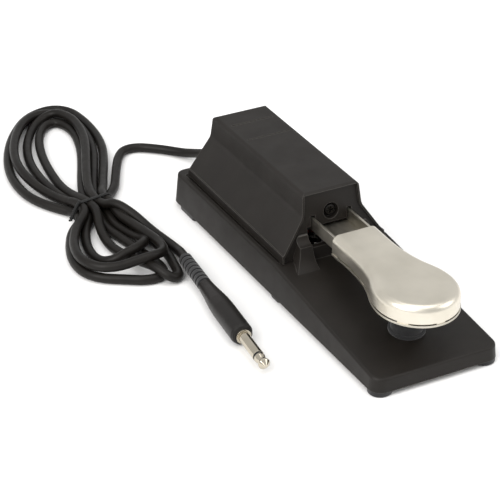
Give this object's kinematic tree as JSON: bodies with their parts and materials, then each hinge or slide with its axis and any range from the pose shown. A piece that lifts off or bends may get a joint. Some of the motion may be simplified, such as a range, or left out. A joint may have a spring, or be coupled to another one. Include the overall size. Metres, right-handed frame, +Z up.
{
  "type": "sustain pedal",
  "caption": "Foot pedal with a rounded steel paddle on a hinged arm, a tapered plastic housing on a long flat base, and a tied cord with a phone plug.",
  "frame": {"origin": "centre of the base's outline on the floor under the feet", "axes": "+Z up, +Y towards the cord's end of the base, -Y towards the paddle's nose, +X to the player's right when the paddle points at the player"},
  "size_m": [0.162, 0.3831, 0.0582],
  "materials": {
    "body_plastic": "fine satin texture",
    "inner_plastic": "moulded",
    "switch_plastic": "moulded",
    "soft_rubber": "matt",
    "felt": "pressed felt",
    "pedal_steel": "satin",
    "plate_steel": "zinc plated",
    "screw_steel": "plated",
    "spring_steel": "drawn wire",
    "brass": "plain",
    "bush_nylon": "natural",
    "wire_red": "extruded",
    "wire_black": "extruded",
    "cord_jacket": "extruded, semi-gloss",
    "tie_plastic": "flat strip",
    "plug_plastic": "moulded",
    "plug_nickel": "nickel plated",
    "insulator_plastic": "moulded"
  },
  "bodies": {
    "base": {"base_shell": "body_plastic", "bottom_plate": "plate_steel", "plate_screws": "screw_steel", "deck_bumper": "soft_rubber", "foot_front_left": "soft_rubber", "foot_front_right": "soft_rubber", "foot_middle_left": "soft_rubber", "foot_middle_right": "soft_rubber", "foot_rear_left": "soft_rubber", "foot_rear_right": "soft_rubber", "housing_cover": "body_plastic", "housing_screws": "screw_steel", "front_screw": "screw_steel", "stop_block": "inner_plastic", "stop_pad": "felt", "pivot_bracket": "plate_steel", "bracket_screws": "screw_steel", "bracket_nuts": "screw_steel", "pivot_axle": "screw_steel", "axle_clip_left": "screw_steel", "axle_clip_right": "screw_steel", "spring_seat": "inner_plastic", "return_spring": "spring_steel", "switch_stand": "inner_plastic", "switch_body": "switch_plastic", "switch_terminal_signal": "brass", "switch_terminal_ground": "brass", "wire_signal": "wire_red", "wire_ground": "wire_black", "cord_clamp": "inner_plastic", "clamp_screws": "screw_steel", "cord_inside": "cord_jacket", "cord_gland": "soft_rubber", "cord_lead": "cord_jacket", "cord_hank": "cord_jacket", "hank_tie": "tie_plastic", "cord_tail": "cord_jacket", "plug_strain_relief": "soft_rubber", "plug_body": "plug_plastic", "plug_sleeve": "plug_nickel", "plug_insulator": "insulator_plastic", "plug_tip": "plug_nickel"},
    "pedal": {"pedal_cover": "pedal_steel", "pedal_plate": "plate_steel", "pedal_arm": "plate_steel", "pedal_rivets": "screw_steel", "pivot_bush_left": "bush_nylon", "pivot_bush_right": "bush_nylon"},
    "plunger": {"switch_plunger": "bush_nylon"}
  },
  "joints": [
    {"name": "pedal_hinge", "type": "hinge", "parent": "base", "child": "pedal", "pos_m": [0, 0.046, 0.039], "axis": [1, 0, 0], "range_deg": [0, 5.5], "stiffness_Nm_per_rad": 5, "springref_deg": -20.05, "deforming": ["return_spring"]},
    {"name": "plunger_slide", "type": "slide", "parent": "base", "child": "plunger", "axis": [0, 0, -1], "range_m": [0, 0.0018]}
  ],
  "couplings": [
    {"joint": "plunger_slide", "follows": "pedal_hinge", "m_per_rad": 0.018}
  ]
}
